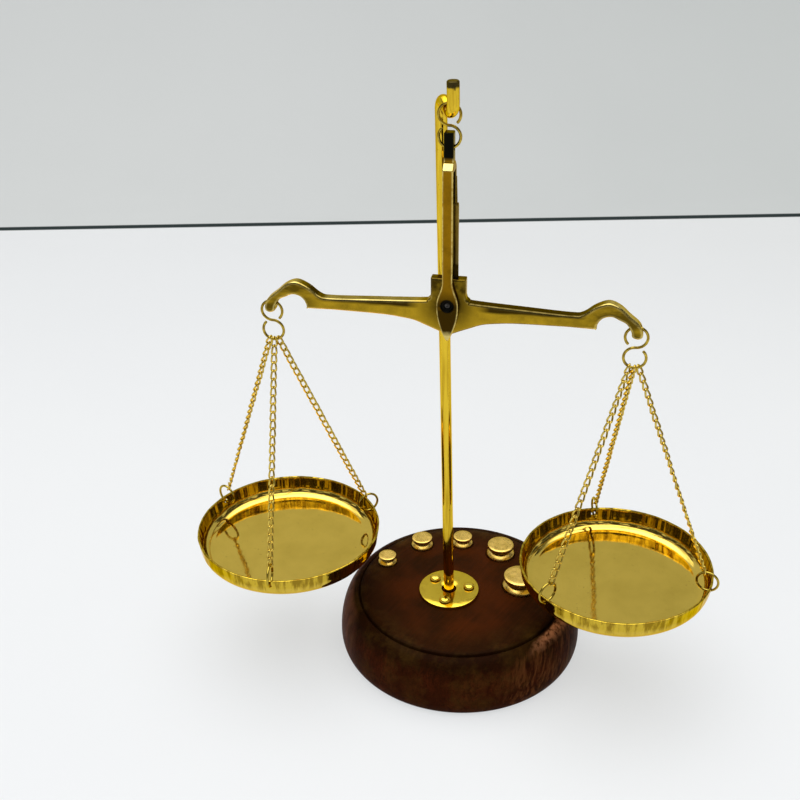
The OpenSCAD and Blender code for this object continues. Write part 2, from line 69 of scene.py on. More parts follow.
LINK_WIRE, LINK_GRIP, LINK_LEN, LINK_W, LINK_PLAY, CHAIN_SPREAD = 0.74, 0.6, 4.4, 2.6, 0.08, 25
WEIGHTS = (  # diameter, rise, sink, distance from the rod and direction
    (7.4, 3.5, 1, 33, 153), (8.7, 4.1, 1, 34, 120), (8.1, 3.9, 1.2, 34, 89.5),
    (11.1, 5.1, 1.6, 34.2, 59), (13.4, 5.5, 3, 29.8, 17),
)
RINGS = {"left": (-1, (155, -85, 35)), "right": (1, (-133, 107, -13))}
SNUG, GAP, SEAT_GAP = 0.05, 0.3, 0.2
HANG_AT = Vector((-3.0925, -12.0184, 229.3447))
EYE_AT = Vector((-3.0925, -12.0184, 214.7029))
PIVOT_AT = EYE_AT - FORK_DROP * UP
SLOT_W = BEAM_T + 2 * GAP
FORK_DEPTH = SLOT_W + 2 * ARM_T

# Sizes of the looks alone, in millimetres
WEIGHT_SKIRT = 1.08  # the skirt of a weight against its top
NAIL_HEAD_WIDER, NAIL_HEAD_HIGHER = 0.2, 0.35
FORK_SKIN, BEAM_SKIN = 0.15, 0.17  # the grain in which the castings' skins are made


# Places and outlines
def spin(degrees, axis, size=4):
    return Matrix.Rotation(radians(degrees), size, axis)


def shift(*way):
    """A move by so many millimetres."""
    return Matrix.Translation(Vector(way) * MM)


def clamp(value):
    return min(1.0, max(0.0, value))


def quarter(steps, first=0):
    """Sine and cosine at even steps through a right angle."""
    angles = [radians(90 * i / steps) for i in range(first, steps + 1)]
    return [(sin(a), cos(a)) for a in angles]


def around(x, z, *offsets):
    """Flat points that are given by their distances from one place."""
    return [(x + dx, z + dz) for dx, dz in offsets]


def between(a, b, steps, last):
    """Points at even steps from one flat point towards another."""
    return [(a[0] + (b[0] - a[0]) * i / steps, a[1] + (b[1] - a[1]) * i / steps)
            for i in range(1, last + 1)]


def mirrored(points):
    """The same outline on the other side of the middle line, in reverse."""
    return [Vector((-p[0], p[1])) for p in reversed(points)]


def both_ends(half):
    """A profile that is the same below the middle as above it."""
    return [(r, -z) for r, z in half[::-1]] + half


def arc(centre, r, start, end, steps, x=(1, 0, 0), y=(0, 0, 1)):
    """Points on an arc in the plane of two directions, with the angles in degrees."""
    c, x, y = Vector(centre), Vector(x), Vector(y)
    return [c + r * (cos(a) * x + sin(a) * y)
            for a in (radians(start + (end - start) * i / steps) for i in range(steps + 1))]


def spline(points, steps):
    """A smooth curve through a list of flat points."""
    out, final = [], len(points) - 1
    for i in range(final):
        a, b, c, d = (Vector(points[j]) for j in (max(i - 1, 0), i, i + 1, min(i + 2, final)))
        for s in range(steps):
            t = s / steps
            out.append(0.5 * (2 * b + (c - a) * t + (2 * a - 5 * b + 4 * c - d) * t * t
                              + (3 * b - a - 3 * c + d) * t ** 3))
    return out + [Vector(points[-1])]


# Meshes
def add_object(name, data):
    piece = bpy.data.objects.new(name, data)
    bpy.context.scene.collection.objects.link(piece)
    return piece


def face_outwards(mesh, merge=0.0):
    """Turns the faces outwards, after points closer than so many millimetres are joined."""
    work = bmesh.new()
    work.from_mesh(mesh)
    if merge:
        bmesh.ops.remove_doubles(work, verts=work.verts, dist=merge * MM)
    bmesh.ops.recalc_face_normals(work, faces=work.faces)
    work.to_mesh(mesh)
    work.free()


def add_mesh(name, verts, faces, at=(0, 0, 0)):
    """A new object whose points are in millimetres, at a place in millimetres."""
    mesh = bpy.data.meshes.new(name)
    mesh.from_pydata([tuple(c * MM for c in v) for v in verts], [], faces)
    face_outwards(mesh)
    mesh.shade_smooth()
    piece = add_object(name, mesh)
    piece.location = Vector(at) * MM
    return piece


def lathe(name, profile, steps, at=(0, 0, 0), closed=False, shape=None):
    """A turned solid from a profile of (radius, height).

    The profile starts and ends on the axis, or closes on itself. Where the solid is out of
    true, shape(radius, angle, height) gives a point's radius and height.
    """
    verts, faces, rings = [], [], []
    angles = [2 * pi * k / steps for k in range(steps)]
    for r, z in profile:
        first = len(verts)
        if r == 0:
            verts.append((0, 0, z))
            rings.append([first] * steps)
            continue
        for a in angles:
            wide, high = shape(r, a, z) if shape else (r, z)
            verts.append((wide * cos(a), wide * sin(a), high))
        rings.append(list(range(first, first + steps)))
    pairs = list(zip(rings, rings[1:])) + ([(rings[-1], rings[0])] if closed else [])
    for low, high in pairs:
        for k in range(steps):
            j = (k + 1) % steps
            corners = list(dict.fromkeys((low[k], low[j], high[j], high[k])))
            if len(corners) > 2:
                faces.append(corners)
    return add_mesh(name, verts, faces, at)


def drill(name, r, low, high, sides, at=(0, 0, 0)):
    """A plain cylinder to cut a hole with."""
    return lathe(name, [(0, low), (r, low), (r, high), (0, high)], sides, at)


def skin(rings, sides, closed=False):
    """Faces over rings of points, with a flat cap at both ends if they don't close."""
    faces = []
    for i in range(rings if closed else rings - 1):
        j = (i + 1) % rings
        for k in range(sides):
            m = (k + 1) % sides
            faces.append((i * sides + k, i * sides + m, j * sides + m, j * sides + k))
    if not closed:
        faces += [tuple(range(sides))[::-1], tuple(range((rings - 1) * sides, rings * sides))]
    return faces


def tube(path, radius, sides, closed=False):
    """Points and faces of round wire. The radius is a number, or one for each point."""
    p = np.array([tuple(v) for v in path], float)
    n = len(p)
    radii = np.broadcast_to(radius, n)
    tangents = np.roll(p, -1, 0) - np.roll(p, 1, 0) if closed else np.gradient(p, axis=0)
    tangents /= np.linalg.norm(tangents, axis=1)[:, None]
    askew = (0.3, 0.2, 0.93)  # no wire starts in this direction
    start = np.cross(tangents[0], askew)
    normals = [start / np.linalg.norm(start)]
    for i in range(1, n + closed):
        t = tangents[i % n]
        side = normals[-1] - t * normals[-1].dot(t)
        normals.append(side / np.linalg.norm(side))
    twist = 0.0
    if closed:
        last = normals.pop()
        twist = atan2(np.cross(last, normals[0]).dot(tangents[0]), last.dot(normals[0]))
    verts = []
    for i in range(n):
        side, other = normals[i], np.cross(tangents[i], normals[i])
        for k in range(sides):
            a = 2 * pi * k / sides + twist * i / n
            verts.append(tuple(p[i] + radii[i] * (cos(a) * side + sin(a) * other)))
    return verts, skin(n, sides, closed)


def wire(name, path, radius, sides, chamfer, at=(0, 0, 0)):
    """An open piece of wire whose ends are cut square with a small chamfer."""
    p = [Vector(v) for v in path]
    first, last = (p[1] - p[0]).normalized(), (p[-1] - p[-2]).normalized()
    p = [p[0], p[0] + first * chamfer] + p[1:-1] + [p[-1] - last * chamfer, p[-1]]
    radii = [radius - chamfer] + [radius] * (len(p) - 2) + [radius - chamfer]
    return add_mesh(name, *tube(p, radii, sides), at)


def evaluated(piece):
    """The mesh of a piece with its modifiers applied."""
    graph = bpy.context.evaluated_depsgraph_get()
    return bpy.data.meshes.new_from_object(piece.evaluated_get(graph))


def modify(piece, kind, **settings):
    """Applies one modifier to a piece."""
    modifier = piece.modifiers.new(kind, kind)
    for key, value in settings.items():
        setattr(modifier, key, value)
    mesh = evaluated(piece)
    piece.modifiers.clear()
    piece.data = mesh


def plate(name, outline, thickness, edge):
    """A flat piece with round edges in the XZ plane, made from an outline of (x, z)."""
    curve = bpy.data.curves.new(name, "CURVE")
    curve.dimensions = "2D"
    curve.fill_mode = "BOTH"
    curve.extrude = (thickness / 2 - edge) * MM
    curve.bevel_depth = edge * MM
    curve.bevel_resolution = 3
    curve.offset = -edge * MM
    line = curve.splines.new("POLY")
    line.points.add(len(outline) - 1)
    for point, p in zip(line.points, outline):
        point.co = (p[0] * MM, p[1] * MM, 0, 1)
    line.use_cyclic_u = True
    holder = add_object(name, curve)
    mesh = evaluated(holder)
    bpy.data.objects.remove(holder)
    mesh.transform(spin(90, "X"))
    face_outwards(mesh, merge=0.002)
    return add_object(name, mesh)


def block(name, low, high, edge=0.0):
    """A box between two corners with rounded edges."""
    (x, y, z), (u, v, w) = low, high
    verts = [(x, y, z), (u, y, z), (u, v, z), (x, v, z),
             (x, y, w), (u, y, w), (u, v, w), (x, v, w)]
    faces = [(0, 1, 2, 3), (4, 5, 6, 7), (0, 1, 5, 4), (1, 2, 6, 5), (2, 3, 7, 6), (3, 0, 4, 7)]
    piece = add_mesh(name, verts, faces)
    if edge:
        modify(piece, "BEVEL", width=edge * MM, segments=3)
    return piece


def combine(piece, others, operation="DIFFERENCE"):
    """Cuts other solids out of a piece, or joins them to it, and removes them."""
    for other in others:
        modify(piece, "BOOLEAN", operation=operation, solver="EXACT", object=other)
        bpy.data.objects.remove(other)


def moved(piece, matrix):
    """Moves or turns a piece's mesh, and leaves its origin where it is."""
    piece.data.transform(matrix)
    return piece


def soften(piece, grain, rounds, more=None):
    """Gives a casting the even, worn skin that tumbling and hand filing leave.

    more(point) says how much of a further rounding a place gets, from 0 to 1.
    """
    modify(piece, "REMESH", mode="VOXEL", voxel_size=grain * MM)
    modify(piece, "SMOOTH", factor=0.5, iterations=rounds)
    if more:
        group = piece.vertex_groups.new(name="more")
        for v in piece.data.vertices:
            amount = more(v.co / MM)
            if amount > 0:
                group.add([v.index], amount, "REPLACE")
        modify(piece, "SMOOTH", factor=0.5, iterations=6 * rounds, vertex_group="more")
    piece.data.shade_smooth()


def by_angle(piece, degrees):
    """Smooth shading that keeps edges sharper than an angle."""
    piece.data.set_sharp_from_angle(angle=radians(degrees))


# Materials
WARM = (1.0, 0.78, 0.34)  # how brass tints what it mirrors at a low angle


def rgb(r, g, b):
    """A colour of a screen, 0 to 255, in the shader's linear values."""
    return tuple(((c / 255 + 0.055) / 1.055) ** 2.4 if c > 10 else c / 255 / 12.92
                 for c in (r, g, b))


class Nodes:
    """The nodes of a material or of the world, added one by one."""

    def __init__(self, owner):
        owner.use_nodes = True
        self.tree = owner.node_tree

    def fill(self, socket, value):
        """Links a socket to another one or sets its value. A colour becomes opaque."""
        if isinstance(value, bpy.types.NodeSocket):
            self.tree.links.new(value, socket)
        else:
            socket.default_value = (*value, 1) if socket.type == "RGBA" else value

    def add(self, kind, inputs=None, **settings):
        node = self.tree.nodes.new("ShaderNode" + kind)
        for key, value in settings.items():
            setattr(node, key, value)
        for key, value in (inputs or {}).items():
            self.fill(node.inputs[key], value)
        return node

    def xyz(self, vector):
        """The three parts of a vector."""
        return self.add("SeparateXYZ", {0: vector}).outputs

    def vector(self, operation, a, b=(0, 0, 0)):
        return self.add("VectorMath", {0: a, 1: b}, operation=operation).outputs

    def math(self, operation, *values):
        """An operation on the first two values, then on that and the third, and so on."""
        return reduce(lambda a, b: self.add("Math", {0: a, 1: b}, operation=operation).outputs[0],
                      values)

    times = partialmethod(math, "MULTIPLY")
    plus = partialmethod(math, "ADD")
    most = partialmethod(math, "MAXIMUM")

    def ramp(self, value, low, high, to_low=0.0, to_high=1.0):
        """Turns a range of values into another one, without going past its ends."""
        return self.add("MapRange", dict(enumerate((value, low, high, to_low, to_high)))).outputs[0]

    def span(self, length, low, high, to_low=0.0, to_high=1.0):
        """A ramp between two lengths in millimetres."""
        return self.ramp(length, low * MM, high * MM, to_low, to_high)

    def mix(self, amount, a, b):
        """Mixes two colours."""
        return self.add("Mix", {"Factor": amount, 6: a, 7: b}, data_type="RGBA").outputs[2]


class Finish(Nodes):
    """A material, which is brass unless its sockets say otherwise."""

    def __init__(self, name, **sockets):
        self.material = bpy.data.materials.new(name)
        super().__init__(self.material)
        self.shader = self.tree.nodes["Principled BSDF"]
        self.use(**(sockets or {"Metallic": 1.0, "Specular_Tint": WARM}))
        self.place = self.add("TexCoord").outputs["Object"]
        self.marks = None

    def use(self, **sockets):
        """Fills sockets of the shader."""
        for socket, value in sockets.items():
            self.fill(self.shader.inputs[socket.replace("_", " ")], value)

    def noise(self, size, detail=3.0, roughness=0.5, stretch=(1, 1, 1), turn=(0, 0, 0),
              distortion=0.0):
        """Noise whose features are about so many millimetres wide, and longer by stretch."""
        turned = self.add("Mapping", {
            "Vector": self.place, "Rotation": tuple(radians(a) for a in turn)})
        scaled = self.add("Mapping", {
            "Vector": turned.outputs[0], "Scale": tuple(1 / (size * MM * s) for s in stretch)})
        return self.add("TexNoise", {
            "Vector": scaled.outputs[0], "Scale": 1.0, "Detail": detail, "Roughness": roughness,
            "Distortion": distortion}).outputs["Fac"]

    def turning(self, per_metre, detail, *lengths):
        """The fine rings that a lathe leaves: noise that varies with a few lengths alone."""
        lengths = {i: self.times(length, per_metre) for i, length in enumerate(lengths)}
        at = self.add("CombineXYZ", lengths).outputs[0]
        return self.add("TexNoise", {"Vector": at, "Scale": 1.0, "Detail": detail}).outputs["Fac"]

    def gloss(self, size, low, high, detail=4, stretch=(1, 1, 1)):
        """A roughness that wanders between two values."""
        return self.ramp(self.noise(size, detail, 0.6, stretch), 0.3, 0.7, low, high)

    def paint(self, colour, *amounts):
        """Lays a colour over the tone, as thick as the product of the amounts."""
        self.tone = self.mix(self.times(*amounts), self.tone, colour)

    def bump(self, height, depth):
        """Adds a bump of so many millimetres on top of the others."""
        inputs = {"Height": height, "Strength": 1.0, "Distance": depth * MM}
        if self.marks:
            inputs["Normal"] = self.marks
        self.marks = self.add("Bump", inputs).outputs[0]

    def done(self, *gloss):
        """The material with its tone, its marks and the sum of its glosses."""
        self.use(Base_Color=self.tone, Roughness=self.plus(*gloss), Normal=self.marks)
        return self.material

    def from_axis(self):
        """The distance from the piece's upright axis."""
        flat = self.vector("MULTIPLY", self.place, (1, 1, 0))[0]
        return self.vector("LENGTH", flat)["Value"]

    def along(self, way):
        """How far a place lies in one direction."""
        return self.vector("DOT_PRODUCT", self.place, way)["Value"]


def brass(name, bright, dull, rough, worn=0.5, stain=9.0, grain=(1, 1, 1), grain_depth=0.004,
          waves=0.0, foot=None):
    """Old brass: tarnish in patches of a size, uneven gloss, marks along the grain and waves.

    Below foot, a height, the piece is painted darker all round.
    """
    f = Finish(name)
    patches = f.ramp(f.noise(stain, 5, 0.6), 0.62 - 0.3 * worn, 0.78 - 0.2 * worn)
    specks = f.ramp(f.noise(1.3, 4, 0.7), 0.66, 0.74, 0, 0.55)
    tarnish = f.times(f.most(patches, specks), worn)
    f.tone = f.mix(tarnish, bright, dull)
    if foot:
        # Painted darker below foot, all round
        f.paint((0.04, 0.022, 0.003), f.span(f.xyz(f.place)[2], foot + 0.3, foot + 0.6, 0.9, 0))
    f.bump(f.noise(0.28, 2, 0.6, grain), grain_depth)
    if waves:
        f.bump(f.noise(4.5, 2, 0.4), waves)
    return f.done(f.gloss(3.5, rough * 0.75, rough * 1.35), f.times(tarnish, 0.12))


# Bright brass of worn edges, also laid on as painted highlights
RUB_AND_HIGHLIGHT = (0.78, 0.62, 0.2)


class Casting(Finish):
    """Old cast brass: a brown skin, near black round its pivot, and worn bright on its edges.

    away, across and up are ramps between two distances from the pivot, to the right and in
    height.
    """

    def __init__(self, name, pivot_z, reach, rub=1.0):
        super().__init__(name)
        surface = self.add("NewGeometry").outputs
        x, self.y, self.z = self.xyz(self.place)
        self.across, self.up = partial(self.span, x), partial(self.span, self.z)
        pivot = (0, 0, pivot_z * MM)
        self.away = partial(self.span, self.vector("DISTANCE", self.place, pivot)["Value"])
        self.facing_up = self.ramp(self.xyz(surface["Normal"])[2], 0.25, 0.65)
        self.stain = self.times(self.ramp(self.noise(8, 5, 0.65), 0.4, 0.66), 0.4)
        self.near = self.times(self.away(4, reach, 1, 0),
                               self.ramp(self.noise(5, 4, 0.6), 0.2, 0.5, 0.6, 1))
        self.rub_and_highlight = self.times(
            self.ramp(surface["Pointiness"], 0.503, 0.52), self.away(5.0, 5.6),
            self.ramp(self.noise(2.5, 4, 0.7), 0.32, 0.55, 0.2 * rub, 0.8 * rub))

    def done(self, grain):
        """Adds the gloss, which is dull in the leaf's sink, and the skin's fine relief."""
        self.bump(self.noise(0.28, 3, 0.6, grain), 0.008)
        self.bump(self.noise(4.0, 3, 0.5), 0.1)
        return super().done(self.gloss(3.5, 0.12, 0.24), self.times(self.rub_and_highlight, -0.06),
                            self.away(5.2, 4.7, 0, 0.3))


def pointer_finish():
    f = Casting("pointer_brass", 0, 20, rub=0.1)
    f.tone = f.mix(f.most(f.stain, f.near), (0.14, 0.085, 0.008), (0.03, 0.018, 0.002))
    f.paint(RUB_AND_HIGHLIGHT, f.rub_and_highlight)
    return f.done(grain=(1, 1, 6))


def fork_finish():
    """The fork's lug is painted black as a dark reflection, and its slot and the pin's sinks are
    painted near black as shade. It is dark round the pin, with painted highlights on its upward
    shoulders and bright leaf tips.
    """
    f = Casting("fork_brass", -FORK_DROP, 20)
    dark = (0.018, 0.01, 0.0015)
    leaf_tip, lug_foot, slot_y = -FORK_DROP - LEAF_DOWN, -LUG_DOWN + 0.4, SLOT_W / 2
    near = f.most(f.times(f.near, f.up(-FORK_DROP, 6 - FORK_DROP, 1, 0.35)),
                  f.up(1 - FORK_DROP, -2 - FORK_DROP, 0, 0.92))
    f.tone = f.mix(f.most(f.stain, near), (0.27, 0.135, 0.004), dark)
    # Painted highlight on the upward faces of the shoulders
    shoulders = f.times(f.facing_up, f.up(-20, -15, 0, 0.9))
    ragged = f.plus(f.z, f.times(f.noise(2, 3, 0.6), 1.5 * MM))
    tips = f.span(ragged, leaf_tip + 2.6, leaf_tip + 4.6, 0.8, 0)
    # Edge wear and bright tips, together with the painted highlights
    f.rub_and_highlight = f.most(f.rub_and_highlight, shoulders, tips)
    f.paint(RUB_AND_HIGHLIGHT, f.rub_and_highlight)
    # Painted shade inside the slot, between the arms
    inside = f.span(f.math("ABSOLUTE", f.y, 0), slot_y + 0.1, slot_y + 0.5, 0.9, 0)
    f.paint(dark, inside, f.up(lug_foot - 3.5, lug_foot - 3, 1, 0))
    # Painted shade in the pin's sinks
    f.paint((0.004, 0.005, 0.005), f.away(4.9, 4.65, 0, 0.95))
    # Painted dark reflection: the lug is painted near black
    f.paint((0.003, 0.004, 0.003), f.up(lug_foot, lug_foot + 1.5, 0, 0.99))
    return f.done(grain=(1, 1, 6))


def beam_finish():
    """The beam has a top painted dark as a reflection, a collar and an upper band on its arms
    painted dark as shade, and paler sides. Its swan necks have dark reflections painted on their
    sides, with painted highlights on the left arm's top and the necks' ridges.
    """
    f = Casting("beam_brass", 0, 13)
    neck, streaks = 50, (3, 1, 1)  # the swan necks start so far from the pivot
    # Painted dark reflection of the dim room on the upward faces
    top = f.times(f.facing_up, f.most(f.across(-8, 8), f.away(neck - 6, neck - 2)),
                  f.away(neck, neck + 5, 1, 0.05))
    # Painted shade along the upper part of the arms
    ragged = f.plus(f.z, f.times(f.noise(5, 3, 0.6, streaks), 1.6 * MM))
    band = f.times(f.span(ragged, -1.9, -0.8, 0, 0.97), f.away(9, 15),
                   f.away(neck - 5, neck, 1, 0))
    # Painted dark reflections in streaks on the swan necks' sides
    sides = f.math("SUBTRACT", 1.0, f.times(f.facing_up, 0.9))
    ends = f.times(f.away(neck - 5, neck + 3), sides,
                   f.ramp(f.noise(3.2, 4, 0.6, streaks), 0.36, 0.56, 0.25, 0.8))
    # Painted shade on the collar, between the fork's arms
    collar = f.times(f.up(0, 5, 0, 0.95), f.ramp(f.noise(3, 4, 0.6), 0.3, 0.6, 0.6, 1))
    f.tone = f.mix(f.most(f.stain, f.near, top, collar, band, ends),
                   (0.43, 0.27, 0.014), (0.03, 0.017, 0.002))
    kept = f.most(f.across(-2, 6, 0.5, 0.25), f.away(neck - 6, neck))
    plain = f.most(f.up(2, 4, 1, 0.1), f.away(12, 16))
    # Painted highlight on the left arm's upward faces
    left_arm = f.times(f.facing_up, f.across(-8, -12), f.away(neck - 4, neck - 6),
                       f.ramp(f.noise(3, 4, 0.6, streaks), 0.3, 0.6, 0.25, 0.55))
    # Painted highlight along the swan necks' ridges
    ridge = f.times(f.facing_up, f.away(neck + 3, neck + 7, 0, 0.9),
                    f.ramp(f.noise(3, 4, 0.6), 0.3, 0.5, 0.4, 1))
    # Edge wear together with the painted highlights
    f.rub_and_highlight = f.most(f.times(f.rub_and_highlight, kept, plain), left_arm, ridge)
    f.paint(RUB_AND_HIGHLIGHT, f.rub_and_highlight)
    return f.done(grain=(6, 1, 1))


def coat(piece, material):
    piece.data.materials.clear()
    piece.data.materials.append(material)


def dressed(piece, body, material, node):
    """Gives a piece its material, its body and the node that it stands for."""
    coat(piece, material)
    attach(piece, body)
    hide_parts(node)


# The camera stands where the photograph was taken from, as fitted to points measured in it
CAMERA_AT = (58.63, -372.89, 323.96)
CAMERA_YAW, CAMERA_PITCH, CAMERA_ROLL = -12.5, 29.13, -1.1
CAMERA_LENS, CAMERA_SENSOR = 51.13, 36


def set_camera():
    data = bpy.data.cameras.new("camera")
    data.lens = CAMERA_LENS
    data.sensor_width = CAMERA_SENSOR
    data.clip_start = 0.01
    camera = add_object("camera", data)
    camera.matrix_world = (shift(*CAMERA_AT) @ spin(-CAMERA_YAW, "Z")
                           @ spin(90 - CAMERA_PITCH, "X") @ spin(CAMERA_ROLL, "Z"))
    bpy.context.scene.camera = camera
    bpy.context.scene.view_settings.view_transform = "Standard"


# Floor and backdrop: one sheet that is grey beyond a line and bends up behind the object, with a
# dark line painted along the join as a shadow gap
WALL_LINE, WALL_TURN = 502.3, 12.2
COVE_START, COVE_R, WALL_TOP, SHEET_HALF_W = 530.0, 260.0, 900.0, 1500.0
# The colour of the shadow gap painted along the join of floor and wall
SHADOW_GAP = (0.02, 0.03, 0.03)
SELF_LIT = 0.72  # the share of the sheet's tone that doesn't depend on the lamps


def set_stage():
    rise = [(y, 0.0) for y in (-1400.0, -600.0, 0.0, 250.0, 490.0, COVE_START)]
    rise += [(COVE_START + COVE_R * s, COVE_R * (1 - c)) for s, c in quarter(24, 1)]
    rise.append((COVE_START + COVE_R, WALL_TOP))
    verts = [(x, y, z) for y, z in rise for x in (-SHEET_HALF_W, SHEET_HALF_W)]
    faces = [(2 * i, 2 * i + 1, 2 * i + 3, 2 * i + 2) for i in range(len(rise) - 1)]
    sheet = add_mesh("floor", verts, faces)
    sheet.rotation_euler = (0, 0, radians(WALL_TURN))
    f = Finish("paper", Roughness=0.6, Specular_IOR_Level=0.3)
    across, along, _ = f.xyz(f.place)
    # Masks for the painted falloff of the glow
    right = f.span(across, -100, 300)
    behind = f.span(along, -200, 450)
    wall = f.span(along, WALL_LINE - 1, WALL_LINE + 1)
    # Painted shadow: a dark line along the foot of the wall
    shadow_gap = f.times(f.span(along, WALL_LINE - 5, WALL_LINE - 3),
                   f.span(along, WALL_LINE + 3, WALL_LINE + 5, 1, 0))
    cloud = f.noise(220, 3, 0.5)
    white = f.mix(f.ramp(cloud, 0.3, 0.7), (0.8, 0.81, 0.83), (0.84, 0.85, 0.86))
    grey = f.mix(f.ramp(cloud, 0.35, 0.65), (0.49, 0.505, 0.5), (0.54, 0.555, 0.55))
    f.bump(f.noise(1.2, 3), 0.01)
    f.use(Base_Color=f.mix(shadow_gap, f.mix(wall, white, grey), SHADOW_GAP), Normal=f.marks)
    seen = f.add("LightPath").outputs
    shown = f.most(seen["Is Camera Ray"], seen["Is Glossy Ray"], seen["Is Transmission Ray"])
    # The glow is painted darker to the right and further back, as a painted falloff of the light
    far_white = f.mix(right, (0.72, 0.735, 0.74), (0.68, 0.695, 0.69))
    lit_white = f.mix(behind, (0.86, 0.875, 0.885), far_white)
    lit_grey = f.mix(right, (0.655, 0.675, 0.67), (0.585, 0.61, 0.6))
    glow = f.add("Emission", {"Color": f.mix(shadow_gap, f.mix(wall, lit_white, lit_grey), SHADOW_GAP)})
    blend = f.add("MixShader", {
        0: f.times(shown, SELF_LIT), 1: f.shader.outputs[0], 2: glow.outputs[0]})
    f.fill(f.tree.nodes["Material Output"].inputs[0], blend.outputs[0])
    sheet.data.materials.append(f.material)


LAMP_AT, LAMP_AIM, LAMP_SIZE = Vector((-0.45, 0.35, 1.3)), Vector((0, 0, 0.1)), (1.5, 1.3)
LAMP_POWER = 6.0
ROOM_STRENGTH = 1.1
ROOM = (  # the height above the horizon, as a sine, and how bright the room is there
    (0.0, 0.47), (0.17, 0.42), (0.27, 0.05), (0.66, 0.05), (0.74, 0.2), (0.82, 2.3),
)
PANEL_BRIGHT = 0.75


def set_light():
    """One wide soft lamp above, in a room that the brass mirrors.

    The room is pale low down, dark above that with upright pale panels, and bright overhead.
    """
    data = bpy.data.lights.new("lamp", "AREA")
    data.shape = "RECTANGLE"
    data.size, data.size_y = LAMP_SIZE
    data.energy = LAMP_POWER
    lamp = add_object("lamp", data)
    lamp.location = LAMP_AT
    lamp.rotation_euler = (LAMP_AIM - LAMP_AT).to_track_quat("-Z", "Y").to_euler()
    world = bpy.data.worlds.new("room")
    bpy.context.scene.world = world
    w = Nodes(world)
    way = w.add("TexCoord").outputs["Generated"]
    up = w.xyz(way)[2]
    tones = w.add("ValToRGB", {0: up})
    marks = tones.color_ramp.elements
    while len(marks) < len(ROOM):
        marks.new(0.5)
    for mark, (where, tone) in zip(marks, ROOM):
        mark.position = where
        mark.color = (tone, tone, tone, 1)
    upright = w.vector("MULTIPLY", way, (6.5, 6.5, 0.4))[0]
    panels = w.add("TexNoise", {"Vector": upright, "Scale": 1.0}).outputs["Fac"]
    lit = w.times(w.ramp(panels, 0.52, 0.58, 0.0, PANEL_BRIGHT), w.ramp(up, 0.16, 0.28))
    back = w.tree.nodes["Background"]
    w.fill(back.inputs[0], w.vector("MAXIMUM", tones.outputs[0], lit)[0])
    w.fill(back.inputs[1], ROOM_STRENGTH)


# Base
def wood():
    """Dark turned wood under old varnish: streaks, pores, turning lines and worn shoulders, with
    painted shade in the groove, a painted reflection on the left and a painted sheen on the disc.
    """
    f = Finish("wood", Metallic=0.0, IOR=1.05)
    r = f.from_axis()
    ring = partial(f.span, r)
    x, _, height = f.xyz(f.place)
    lie = (0, 0, 24)  # the way the grain runs, in degrees
    grain = f.noise(1.1, 6, 0.62, (1, 16, 2.2), lie, 0.6)
    broad = f.noise(14, 4, 0.55, (1, 3, 1), lie)
    pores = f.ramp(f.noise(0.34, 2, 0.6, (1, 9, 1.5), lie), 0.6, 0.7)
    f.tone = f.mix(f.ramp(grain, 0.34, 0.7), rgb(38, 14, 4), rgb(76, 31, 11))
    f.paint(rgb(44, 17, 4), f.ramp(broad, 0.35, 0.65, 0, 0.85))
    f.paint(rgb(12, 4, 2), pores, 0.7)
    # The disc, with cloudy varnish towards its middle, and painted shade in the groove round it and
    # down the upper side
    cloud = f.times(f.ramp(f.noise(22, 3, 0.5), 0.36, 0.56), ring(37, 26))
    f.paint(f.mix(cloud, rgb(34, 19, 5), rgb(62, 28, 6)), ring(40.8, 41.6, 1, 0), 0.7)
    # Painted shade in the groove and down the upper side
    f.paint(rgb(24, 12, 4), ring(39.8, 41.2), ring(49.1, 46.6), 0.8)
    # Paler wood where hands have worn it, in front to the right; a painted reflection of the pale
    # floor on the left
    faded = f.ramp(f.noise(1.6, 5, 0.65, (1, 1, 6), (30, 0, 0)), 0.46, 0.62)
    f.paint(rgb(112, 66, 34), faded, f.span(f.along((0.93, -0.36, 0)), 36, 43),
            ring(44.0, 46.5), 0.5)
    worn = f.times(ring(42.8, 43.6), ring(47.2, 45.0), f.span(f.along((0.98, -0.2, 0)), 38, 42.5),
                   f.ramp(f.noise(2.4, 5, 0.7, (1, 1, 3)), 0.38, 0.54))
    f.paint(rgb(186, 124, 88), worn, 0.9)
    # Painted reflection of the pale floor on the left side
    patchy = f.ramp(f.noise(4, 4, 0.6, (1, 1, 4)), 0.34, 0.6, 0.3, 1)
    f.paint(rgb(120, 72, 52), f.span(x, -37, -43), ring(43.8, 45.0), patchy, 0.55)
    # Painted sheen of light over the disc, partly real dirt
    sheen_and_dust = f.ramp(f.noise(9, 5, 0.7), 0.45, 0.75)
    f.paint(rgb(104, 78, 30), sheen_and_dust, ring(28, 40), 0.2)
    f.bump(f.turning(2600.0, 2.0, r, height), 0.03)
    f.bump(pores, -0.03)
    f.bump(f.noise(2.4, 4, 0.6), 0.05)
    return f.done(f.gloss(5, 0.3, 0.46), f.times(worn, 0.15))


